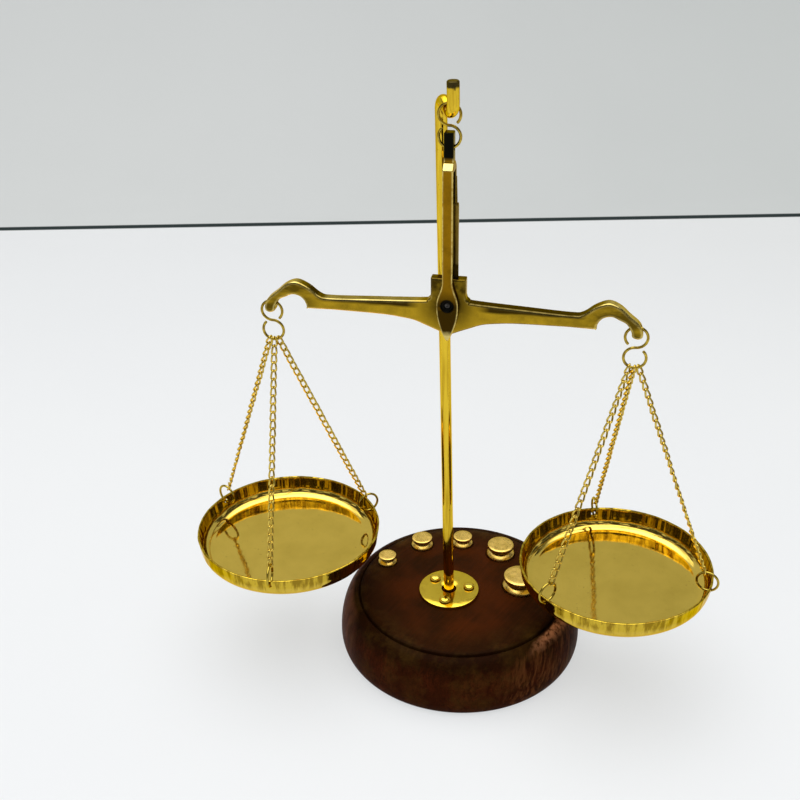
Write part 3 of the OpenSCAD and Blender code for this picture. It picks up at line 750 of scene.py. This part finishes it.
def base_profile():
    """The turned side of the base, with the solid's groove and disc, and eased corners."""
    foot_r, wide_r, disc_r = FOOT_D / 2, BASE_D / 2, TOP_D / 2
    shoulder_r, shoulder_z = disc_r + GROOVE_W, BASE_H - DISC_RISE
    groove_z = shoulder_z - GROOVE_DEPTH
    out = [(0, 0), (30, 0), (foot_r - 0.5, 0), (foot_r - 0.1, 0.1)]
    out += [(foot_r + (wide_r - foot_r) * s, SWELL_H * (1 - c)) for s, c in quarter(24, 1)]
    out += [(shoulder_r + (wide_r - shoulder_r) * c, SWELL_H + (shoulder_z - SWELL_H) * s)
            for s, c in quarter(24, 1)]
    out += [(shoulder_r - 0.12, shoulder_z - 0.08)]
    out += around(shoulder_r, groove_z, (-GROOVE_W * 0.3, 0.25), (-GROOVE_W * 0.5, 0),
                  (-GROOVE_W * 0.75, 0.15))
    out += [(disc_r, shoulder_z - GROOVE_DEPTH / 2)]
    out += around(disc_r, BASE_H, (-0.03, -0.5), (-0.2, -0.16), (-0.5, 0))
    return out + [(38, BASE_H), (30, BASE_H - 0.02), (16, BASE_H), (0, BASE_H)]


def lean():
    """Turns the rod's own frame to where it stands."""
    return Matrix.Translation(POST_FOOT * MM) @ spin(-POST_LEAN, "Y")


def beside_rod(distance, angle):
    a = radians(angle)
    return POST_FOOT + distance * Vector((cos(a), sin(a), 0))


def make_base(material):
    base = lathe("base_wood", base_profile(), 288)
    below = -BASE_H - 3
    cuts = [moved(drill("bore", POST_D / 2 + SNUG, below, 3, 64), lean()),
            moved(drill("pocket", POCKET_D / 2, below, POCKET_DEPTH - BASE_H, 64), lean())]
    for angle in NAIL_ANGLES:
        cuts.append(drill("nail_hole", NAIL_D / 2 + SNUG, -NAIL_LEN - SNUG, 1, 24,
                          beside_rod(NAIL_RING, angle)))
    for d, _, sink, distance, angle in WEIGHTS:
        r = d / 2 * WEIGHT_SKIRT + GAP
        profile = [(0, -sink), (r, -sink), (r, -0.2), (r + 0.2, 0.02), (r + 0.2, 1), (0, 1)]
        cuts.append(lathe("recess", profile, 72, beside_rod(distance, angle)))
    combine(base, cuts)
    by_angle(base, 32)
    dressed(base, "stand", material, "base")


# Rod, flange and nails
def post_finish(tip):
    """Polished rod with lengthways draw marks and a dark, sawn tip."""
    f = Finish("rod")
    from_tip = f.vector("DISTANCE", f.place, tip)["Value"]
    ragged = f.plus(from_tip, f.times(f.noise(1.6, 4, 0.7), 2.4 * MM))
    sawn = f.span(ragged, 3.9, 4.6, 0.95, 0)
    patches = f.ramp(f.noise(1.5, 5, 0.6, (1, 1, 22)), 0.46, 0.66, 0, 0.75)
    f.tone = f.mix(patches, (0.76, 0.52, 0.035), (0.42, 0.25, 0.01))
    pits = f.ramp(f.noise(0.8, 3, 0.6, (1, 1, 2)), 0.68, 0.74, 0, 0.8)
    f.paint((0.1, 0.05, 0.005), pits)
    f.paint((0.02, 0.018, 0.01), sawn)
    f.bump(f.noise(0.22, 3, 0.6, (1, 1, 14)), 0.005)
    f.bump(f.noise(3, 2, 0.5, (1, 1, 4)), 0.03)
    return f.done(f.gloss(2.5, 0.04, 0.09, stretch=(1, 1, 6)), f.times(sawn, 0.3))


def make_post():
    """The rod: one bent length with a square-cut tip."""
    u = spin(HOOK_TURN - 90, "Z", 3) @ Vector((1, 0, 0))
    dip = radians(HOOK_DIP)
    path = [Vector((0, 0, -POST_TAIL + (POST_RISE + POST_TAIL) * i / 60)) for i in range(60)]
    path += arc(POST_RISE * UP + u * CROWN_R, CROWN_R, 180, 90 - HOOK_DIP, 22, u)
    along = u * cos(dip) - UP * sin(dip)
    bottom = path[-1] + along * HOOK_RUN
    centre = bottom + HOOK_R * (u * sin(dip) + UP * cos(dip))
    path += arc(centre, HOOK_R, 270 - HOOK_DIP, 360, 22, u)
    path += [path[-1] + UP * HOOK_TIP * i / 4 for i in range(1, 5)]
    post = wire("post_rod", path, POST_D / 2, 48, 0.35)
    by_angle(post, 40)
    moved(post, lean())
    tip = lean() @ (path[-1] * MM)
    dressed(post, "stand", post_finish(tuple(tip)), "post")


def make_flange(material):
    """A spun disc, slightly out of flat, with holes for the rod and the nails."""
    r, hole, t = FLANGE_D / 2, FLANGE_HOLE_D / 2, FLANGE_T
    profile = [(hole + 0.1, 0), (r - 0.15, 0), (r, 0.15), (r, t - 0.3), (r - 0.12, t - 0.08),
               (r - 0.4, t), (r * 0.6, t), (hole + 0.35, t), (hole + 0.1, t - 0.12),
               (hole, t - 0.35), (hole, 0.1)]

    def uneven(wide, a, z):
        bend = 0.035 * cos(2 * a + 0.7) + 0.02 * cos(3 * a)
        return wide, z + bend * (z / t) * (wide / r)
    flange = lathe("flange_disc", profile, 160, POST_FOOT, True, uneven)
    combine(flange, [drill("hole", NAIL_D / 2 + SNUG, -1, 3, 24, beside_rod(NAIL_RING, angle))
                     for angle in NAIL_ANGLES])
    by_angle(flange, 30)
    dressed(flange, "stand", material, "flange")


def make_nails(material):
    """Nails with round heads, each dented by the hammer in its own direction."""
    r, h, t = NAIL_HEAD_D / 2 + NAIL_HEAD_WIDER, NAIL_HEAD_H + NAIL_HEAD_HIGHER, FLANGE_T
    lip, dent = t + 0.3, 0.07
    profile = [(0, -NAIL_LEN), (NAIL_D / 2 - 0.3, -NAIL_LEN + 0.2), (NAIL_D / 2, -NAIL_LEN + 1.6),
               (NAIL_D / 2, t), (r - 0.35, t + 0.02), (r - 0.06, t + 0.22)]
    profile += [(r * c ** 0.6, lip + (h - 0.3) * s) for s, c in quarter(14)[:-1]] + [(0, t + h)]
    for i, angle in enumerate(NAIL_ANGLES):
        def dented(wide, a, z, turn=1.9 * i + 0.4):
            deep = dent * max(0.0, cos(a - turn)) * wide / r
            return wide, z - (deep if z > lip else 0.0)
        label = "nail_%d" % (i + 1)
        nail = lathe(label, profile, 56, beside_rod(NAIL_RING, angle), shape=dented)
        dressed(nail, "stand", material, "flange_" + label)


# Hooks
def end_at(side):
    """Where an end hook's upper loop hangs in the beam."""
    return PIVOT_AT + Vector((side * BEAM_ARM, 0, -BEAM_SAG))


def hook_path(r, facing):
    """Two open loops, one above the other, from one free end to the other."""
    steps, aside = 44, 0.3  # a free end stands aside, clear of the other loop

    def loop(s):
        turns = [(i / steps, radians(-90 + (360 - LOOP_GAP) * (i / steps)))
                 for i in range(steps + 1)]
        return [Vector((s * r * cos(a), s * aside * t ** 4, s * (r + r * sin(a))))
                for t, a in turns]
    return [spin(facing, "Z", 3) @ p for p in loop(1)[::-1] + loop(-1)[1:]]


def make_hooks(material):
    for place, at, r, facing in (
        ("top", HANG_AT, TOP_LOOP_R, 180), ("left", end_at(-1), END_LOOP_R, 180),
        ("right", end_at(1), END_LOOP_R, 0),
    ):
        name, middle = "s_hook_" + place, at - 2 * r * UP
        hook = wire(name + "_wire", hook_path(r, facing), HOOK_WIRE / 2, 20, 0.14, middle)
        by_angle(hook, 50)
        dressed(hook, place + "_hook", material, name)


# Fork, pin, beam and pointer
def leaf_outline():
    """A leaf that widens from the arm to the pivot and narrows to its tip."""
    steps, tip = 24, 0.5
    swell = (LEAF_W - ARM_W) / 4
    half = [Vector((ARM_W / 2 + swell * (1 - cos(pi * i / steps)),
                    LEAF_UP * (1 - i / steps))) for i in range(steps + 1)]
    half += [Vector((LEAF_W / 2 * cos(pi / 2 * i / steps) ** 0.9 + tip * i / steps,
                     -LEAF_DOWN * i / steps)) for i in range(1, steps)]
    half.append(Vector((tip, -LEAF_DOWN)))
    return half + mirrored(half)


def make_fork(material):
    """One casting: a lug with an eye, shoulders, two arms and a leaf round each end of the pin."""
    side, deep = SLOT_W / 2, FORK_DEPTH / 2
    shoulder = -LUG_DOWN - SHOULDER_H
    bridge, low = shoulder - BRIDGE_T, LEAF_UP - FORK_DROP - 1
    half = [Vector(p) for p in ((side, bridge), (side, low), (deep, low), (deep, shoulder),
                                (LUG_T / 2, -LUG_DOWN))]
    arms = plate("fork_casting", mirrored(half) + half, ARM_W, 0.4)
    moved(arms, spin(90, "Z"))
    lug = block("lug", (-LUG_W / 2, -LUG_T / 2, shoulder), (LUG_W / 2, LUG_T / 2, LUG_UP), 0.35)
    leaves = [moved(plate("leaf", leaf_outline(), ARM_T, 0.45),
                    shift(0, s * (side + ARM_T / 2), -FORK_DROP)) for s in (-1, 1)]
    combine(arms, [lug] + leaves, "UNION")
    eye = moved(drill("eye", EYE_D / 2, -4, 4, 40), spin(90, "Y"))
    bore_r, sink_r, sink_z = PIN_D / 2 + PIN_PLAY, SINK_D / 2, deep - SINK_DEPTH
    bore = lathe("bore", both_ends([(bore_r, sink_z), (sink_r - 0.25, sink_z),
                                    (sink_r, deep - 0.1), (sink_r + 0.15, 9), (0, 9)]), 56)
    moved(bore, Matrix.Translation(-FORK_DROP * MM * UP) @ spin(90, "X"))
    combine(arms, [eye, bore])
    soften(arms, FORK_SKIN, 5)
    arms.location = EYE_AT * MM
    dressed(arms, "fork", material, "fork")


def beam_outline():
    """From the collar's corner along the arm's top, round the swan neck and back to the belly."""
    wide, drop = COLLAR_W / 2, DROP_W / 2
    neck_x = BEAM_ARM - 18.6
    foot_x = neck_x + 3.6
    top_z = -1.1
    half = [Vector((wide, COLLAR_H)), Vector((wide, 3.2))] + spline(
        around(wide, 0, (0.3, 2), (1.2, 1.1), (3, 0.6))
        + [((wide + neck_x) / 2, top_z / 2 + 0.2)]
        + around(neck_x, top_z, (-4, 0), (0, 0.7), (4, NECK_RISE * 0.76))
        + around(BEAM_ARM, top_z, (-10.2, NECK_RISE + 0.6), (-6.2, NECK_RISE * 0.84),
                 (-2.6, 1.0))
        + around(BEAM_ARM, -BEAM_SAG, (0.7, 1.6), (drop, -1.3), (drop - 0.1, -3.2),
                 (0.3, -3.9), (0.5 - drop, -3.2), (-drop, -1.3), (-3.7, 1.4))
        + around(BEAM_ARM, top_z, (-6.2, -0.7), (-8.8, 0.4), (-11.5, -0.2))
        + around(foot_x, top_z, (2.0, -1.7), (1.3, -3.2), (1.1, 0.3 - ARM_SHALLOW),
                 (0.5, -ARM_SHALLOW))
        + [(neck_x - 6, top_z - ARM_SHALLOW + 0.1)]
        + around(wide, -ARM_DEEP, (17.8, 0.1), (11, -0.5), (6, -1.3))
        + [(wide + 2, -BELLY_H * 0.76), (wide - 2, -BELLY_H * 0.9), (1.6, -BELLY_H)], 8)
    return half + mirrored(half)


def make_beam(material):
    """The beam's casting, with its bore, the end hooks' holes and the pointer's slot."""
    beam = plate("beam_casting", beam_outline(), BEAM_T, 0.75)
    r = END_HOLE_D / 2
    seat = END_LOOP_R - sqrt((END_LOOP_R - HOOK_WIRE / 2) ** 2 - (DROP_W / 2) ** 2)
    hole_z = -BEAM_SAG + r - SEAT_GAP - seat
    cuts = [moved(drill("bore", PIN_D / 2 + SNUG, -5, 5, 40), spin(90, "X"))]
    for s in (-1, 1):
        hole = lathe("end_hole", both_ends([(r, 1.5), (r + 0.5, 2.2), (r + 0.5, 5), (0, 5)]), 40)
        cuts.append(moved(hole, shift(s * BEAM_ARM, 0, hole_z) @ spin(90, "Y")))
    half_w, half_t = POINTER_W / 2 + SNUG, POINTER_T / 2 + SNUG
    cuts.append(block("slot", (POINTER_X - half_w, -half_t, COLLAR_H - TANG_DEPTH),
                      (POINTER_X + half_w, half_t, COLLAR_H + 2)))
    combine(beam, cuts)

    def rounder(p):
        """The arms and necks are filed round, but not the collar and the drops."""
        in_drop = abs(p.x) >= 44 and p.z <= -3.4
        return 0.0 if in_drop else clamp((abs(p.x) - 8) / 6)
    soften(beam, BEAM_SKIN, 4, rounder)
    beam.location = PIVOT_AT * MM
    dressed(beam, "beam", material, "beam")


def make_pointer(material):
    """A square bar that is drawn down to a round needle."""
    sides, blade, needle = 24, POINTER_BLADE, POINTER_NEEDLE
    levels = (  # height, size against the bar and how square it is
        (-TANG_DEPTH, 1.0, 8.0), (0, 1.0, 8.0), (blade * 0.5, 0.99, 8.0), (blade - 1.0, 0.98, 8.0),
        (blade - 0.15, 0.93, 7.0), (blade, 0.8, 6.0))
    rounds = (  # height and radius
        (blade + 0.05, NEEDLE_D / 2), (blade + needle * 0.5, NEEDLE_D * 0.38),
        (blade + needle - 0.15, NEEDLE_D * 0.25), (blade + needle, 0.08))
    turns = [2 * pi * (k + 0.5) / sides for k in range(sides)]
    ways = [(cos(a), sin(a)) for a in turns]
    verts = []
    for z, size, square in levels:
        for c, s in ways:
            reach = size * (abs(c) ** square + abs(s) ** square) ** (-1 / square)
            verts.append((POINTER_W / 2 * reach * c, POINTER_T / 2 * reach * s, z))
    for z, r in rounds:
        verts += [(r * c, r * s, z) for c, s in ways]
    foot = PIVOT_AT + Vector((POINTER_X, 0, COLLAR_H))
    faces = skin(len(levels) + len(rounds), sides)
    pointer = add_mesh("pointer_bar", verts, faces, foot)
    by_angle(pointer, 35)
    dressed(pointer, "beam", material, "pointer")


def make_pin(material):
    """The pin, with a chamfer and a drilled centre at both ends."""
    r, half = PIN_D / 2, FORK_DEPTH / 2 - SINK_DEPTH
    end = [(r, half - 0.25), (r - 0.12, half - 0.06), (r - 0.4, half - 0.02), (0.45, half - 0.1),
           (0.2, half - 0.28), (0, half - 0.3)]
    pin = lathe("pivot_rod", both_ends(end), 48, PIVOT_AT)
    moved(pin, spin(90, "X"))
    dressed(pin, "beam", material, "pivot_pin")


def steel_finish():
    f = Finish("steel", Metallic=1.0)
    rust = f.ramp(f.noise(1.5, 4, 0.7), 0.4, 0.65)
    f.tone = f.mix(rust, (0.07, 0.065, 0.06), (0.03, 0.025, 0.02))
    f.bump(f.noise(0.3, 3), 0.01)
    return f.done(f.ramp(f.noise(0.8, 3), 0.3, 0.7, 0.25, 0.45))


# Pans, rings and chains
def pan_finish():
    """Spun brass: satin floor with faint rings and spots, and a wall painted darker with dark
    streaks, as painted reflections of the dim room.
    """
    f = Finish("pan")
    patches = f.ramp(f.noise(16, 5, 0.6), 0.42, 0.72)
    f.tone = f.mix(f.times(patches, 0.8), (0.76, 0.54, 0.1), (0.64, 0.45, 0.075))
    f.paint((0.36, 0.22, 0.03), f.ramp(f.noise(1.3, 3, 0.6), 0.67, 0.72, 0, 0.6))
    # Painted dark reflection: the wall is painted darker than the floor
    wall = f.span(f.xyz(f.place)[2], 2.5, 5.5)
    f.paint((0.6, 0.425, 0.042), wall)
    # Painted dark reflections in streaks on the wall
    streaks = f.ramp(f.noise(2.0, 4, 0.6, (1, 1, 10)), 0.44, 0.58)
    f.paint((0.26, 0.16, 0.014), streaks, wall, 0.9)
    rings = f.turning(900.0, 3.0, f.from_axis())
    f.bump(rings, 0.004)
    f.bump(f.noise(0.5, 3, 0.6), 0.0025)
    f.bump(f.noise(9, 3, 0.5), 0.06)
    return f.done(f.gloss(7, 0.05, 0.09), f.ramp(rings, 0.35, 0.65, -0.01, 0.02))


def rim_at(side):
    """The middle of a pan's rim."""
    return end_at(side) - PAN_DROP * UP


def pan_profile():
    """A spun dish, from the middle of its underside round the rim to the middle inside."""
    rim, outer = PAN_D / 2, PAN_CORNER + PAN_T
    out = [(0, 0), (10, 0), (20, 0), (27, 0)]
    out += [(rim - PAN_FLARE - outer * (1 - s), outer * (1 - c)) for s, c in quarter(12)]
    out += between(out[-1], (rim, PAN_H - 0.35), 8, 8)
    out += around(rim, PAN_H, (-0.03, -0.15), (-0.15, -0.02), (-PAN_T / 2, 0),
                  (0.12 - PAN_T, -0.04), (-PAN_T, -0.25))
    corner = [(rim - PAN_T - PAN_FLARE - PAN_CORNER * (1 - s), PAN_T + PAN_CORNER * (1 - c))
              for s, c in quarter(14)]
    out += between(out[-1], corner[-1], 8, 7) + corner[::-1]
    return out + [(r, PAN_T) for r in (31, 28, 24, 20, 16, 12, 8, 4, 0)]


def rippled(seed):
    """Ripples of spinning and handling: folds in the wall and an uneven floor."""
    random = np.random.default_rng(seed)
    folds = [(n, random.uniform(0, 2 * pi), random.uniform(0.3, 1) * 0.9 / n ** 0.75)
             for n in (5, 9, 14, 19, 23, 31, 38, 47, 59, 71)]
    bends = [(n, random.uniform(0, 2 * pi), random.uniform(0.6, 1)) for n in (2, 3, 4)]
    fold_depth, crown, bend_depth, floor_r = 0.55, 0.1, 0.04, 36

    def wave(parts, a):
        return sum(size * cos(n * a + phase) for n, phase, size in parts)

    def shape(r, a, z):
        up, below_rim = clamp((z - 2.0) / 3.0), min(1.0, (PAN_H + 0.6 - z) / 1.5)
        wide = r + fold_depth * wave(folds, a) * up * below_rim
        lift = crown * cos(pi * r / floor_r)
        lift += bend_depth * wave(bends, a) * (r / floor_r) ** 2
        return wide, z + clamp((34 - r) / 6) * lift
    return shape


def make_pans(material):
    for seed, (name, (side, angles)) in enumerate(RINGS.items(), 11):
        place = rim_at(side) - PAN_H * UP
        pan = lathe("pan_%s_dish" % name, pan_profile(), 720, place, shape=rippled(seed))
        rim = shift(PAN_D / 2, 0, PAN_H - RING_HOLE_DOWN)
        combine(pan, [moved(drill("hole", RING_HOLE_D / 2, -3, 3, 28, place),
                            spin(angle, "Z") @ rim @ spin(90, "Y")) for angle in angles])
        by_angle(pan, 50)
        dressed(pan, name + "_pan", material, "pan_" + name)


def hole_at(side, angle):
    """The middle of a ring's hole in a pan's wall."""
    a, r = radians(angle), (PAN_D - PAN_T) / 2
    return rim_at(side) + Vector((r * cos(a), r * sin(a), -RING_HOLE_DOWN))


def hang_point(side, place):
    """Where a chain hangs on the hook's lower loop, and the way its wire runs there."""
    a = radians(-90 + (place - 1) * CHAIN_SPREAD)
    at = end_at(side) - 3 * END_LOOP_R * UP + END_LOOP_R * Vector((cos(a), 0, sin(a)))
    return at, Vector((-sin(a), 0, cos(a)))


def chain_link(turn):
    """Points of one link: a stadium of wire whose ends stand a quarter turn apart."""
    bend = (LINK_W - LINK_WIRE) / 2
    straight = (LINK_LEN - LINK_W) / 2
    path = arc((0, 0, straight), bend, 0, 180, 10)
    path += [Vector((-bend, 0, straight * t)) for t in (0.5, 0.0, -0.5)]
    path += arc((0, 0, -straight), bend, 180, 360, 10)
    path += [Vector((bend, 0, straight * t)) for t in (-0.5, 0, 0.5)]
    return [Matrix.Rotation(turn + pi / 2 * p.z / LINK_LEN, 3, "Z") @ p for p in path]


def make_chains(ring_material, chain_material):
    """Runs of twisted links that turn towards the hook's wire, each a little out of place."""
    random = np.random.default_rng(5)
    sway = 0.06
    inside = LINK_LEN - 2 * LINK_GRIP
    for name, (side, angles) in RINGS.items():
        for place, angle in enumerate(angles):
            label, body = "%s_%d" % (name, place + 1), name + "_pan"
            hole = hole_at(side, angle)
            top, tangent = hang_point(side, place)
            along = (top - hole).normalized()
            across = UP.cross(along).cross(along).normalized()
            ring_path = arc(hole + RING_R * along, RING_R, RING_GAP / 2, 360 - RING_GAP / 2, 64,
                            across, along)
            ring = wire("ring_%s_wire" % label, ring_path, RING_WIRE / 2, 18, 0.1)
            by_angle(ring, 50)
            dressed(ring, body, ring_material, "ring_" + label)
            first = hole + 2 * RING_R * along
            first += along * (inside / 2 - RING_WIRE / 2 - SEAT_GAP / 2)
            last = top - along * (inside / 2 - HOOK_WIRE / 2 - SEAT_GAP / 2)
            steps = ceil((last - first).length / (inside - LINK_PLAY))
            finish = (tangent - along * along.dot(tangent)).normalized()
            sweep = atan2(across.cross(finish).dot(along), across.dot(finish)) - pi / 2
            sweep -= pi * floor((sweep + pi / 2) / pi)
            basis = Matrix((along.cross(across), -across, along)).transposed()
            verts, faces = [], []
            for i in range(steps + 1):
                chance = random.uniform(-5, 5) if 0 < i < steps else 0
                turn = pi / 4 + sweep * i / steps + radians(chance)
                off = Vector((random.uniform(-sway, sway), random.uniform(-sway, sway), 0))
                at = first + (last - first) * i / steps
                path = [at + basis @ (p + off) for p in chain_link(turn)]
                more, quads = tube(path, LINK_WIRE / 2, 10, True)
                faces += [tuple(v + len(verts) for v in quad) for quad in quads]
                verts += more
            chain = add_mesh("chain_%s_links" % label, verts, faces)
            dressed(chain, body, chain_material, "chain_" + label)


# Weights
def weight_finish():
    """Turned brass: satin tops, and necks painted dark as shade."""
    f = Finish("weights")
    f.tone = f.mix(f.ramp(f.noise(3.0, 1), 0.35, 0.7), (0.8, 0.54, 0.14), (0.6, 0.4, 0.085))
    level = f.xyz(f.add("TexCoord").outputs["Generated"])[2]
    # Painted shade in the neck
    f.paint((0.05, 0.03, 0.008), f.ramp(level, 0.6, 0.64), f.ramp(level, 0.75, 0.72), 0.85)
    f.bump(f.noise(0.25, 1, 0.6), 0.0003)
    f.bump(f.noise(2.5, 1), 0.006)
    return f.done(f.gloss(2.0, 0.22, 0.34, detail=2))


def make_weights(material):
    """Spools with a conical skirt, a neck and a flat top. Levels are shares of the rise."""
    edge = 0.22
    for i, (d, rise, sink, distance, angle) in enumerate(WEIGHTS):
        top, skirt, neck, high = d / 2, d / 2 * WEIGHT_SKIRT, d / 2 * 0.74, sink + rise
        levels = ((skirt, 0.12), (skirt - 0.06, 0.17), (skirt - edge, 0.21),
                  (skirt * 0.35 + neck * 0.65, 0.4), (neck + 0.05, 0.46), (neck, 0.5),
                  (neck, 0.6), (neck + 0.15, 0.63), (top - edge, 0.66), (top - 0.05, 0.69),
                  (top, 0.73))
        profile = [(0, 0), (skirt - 0.3, 0), (skirt, 0.3)]
        profile += [(r, sink + rise * share) for r, share in levels]
        profile += [(top, high - edge), (top - 0.07, high - 0.07), (top - edge, high),
                    (top * 0.72, high - 0.01), (top * 0.4, high), (0, high)]
        label = "weight_%d" % (i + 1)
        weight = lathe(label + "_spool", profile, 120, beside_rod(distance, angle) - sink * UP)
        by_angle(weight, 38)
        dressed(weight, label, material, label)


set_camera()
set_stage()
set_light()
sheet_brass = brass("flange_brass", (0.74, 0.52, 0.05), (0.48, 0.31, 0.03), 0.08, worn=0.45,
                    stain=5.0, grain=(1, 8, 1), grain_depth=0.003, waves=0.05)
steel = steel_finish()
make_base(wood())
make_post()
make_flange(sheet_brass)
make_nails(brass("nail_brass", (0.74, 0.54, 0.07), (0.42, 0.27, 0.03), 0.1, stain=2.0,
                 waves=0.04, foot=FLANGE_T))
make_hooks(brass("hook_brass", (0.56, 0.41, 0.055), (0.16, 0.09, 0.01), 0.07, 0.8, 2.0))
make_fork(fork_finish())
make_beam(beam_finish())
make_pointer(pointer_finish())
make_pin(steel)
make_pans(pan_finish())
make_chains(brass("ring_brass", (0.46, 0.34, 0.05), (0.2, 0.13, 0.015), 0.12, 0.5, 3.0),
            brass("chain_brass", (0.68, 0.51, 0.1), (0.26, 0.16, 0.022), 0.11, 0.55, 2.0))
make_weights(weight_finish())
coat(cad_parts["washer"], sheet_brass)
coat(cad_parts["nut"], steel)
